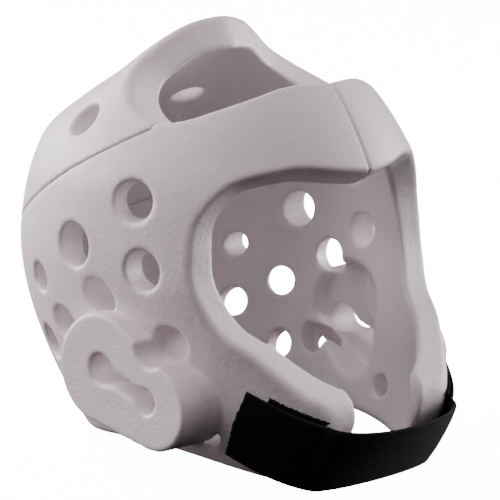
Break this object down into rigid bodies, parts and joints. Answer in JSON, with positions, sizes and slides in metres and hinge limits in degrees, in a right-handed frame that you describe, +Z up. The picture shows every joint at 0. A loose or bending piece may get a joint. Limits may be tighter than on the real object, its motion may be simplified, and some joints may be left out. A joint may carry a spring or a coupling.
{
  "type": "taekwondo headgear",
  "caption": "Dipped foam head guard, open at the face and crown, with round vents, hollow ear pods and an elastic chin strap on hook patches",
  "frame": {"origin": "middle of the whole guard in plan, on the level surface that its rear rim and strap stand on", "axes": "+Z up through the crown, -Y to the front of the face, -X to the wearer's right"},
  "size_m": [0.21, 0.2641, 0.2286],
  "materials": {
    "dipped_foam": "off-white dipped foam with a satin, finely wrinkled skin",
    "hook_pile": "black hook and loop patch",
    "webbing": "black ribbed elastic webbing"
  },
  "bodies": {
    "root": {"side_guard_right": "dipped_foam", "side_guard_left": "dipped_foam", "crown_cap": "dipped_foam", "hook_patch_right": "hook_pile", "hook_patch_left": "hook_pile", "chin_strap": "webbing"}
  },
  "joints": []
}
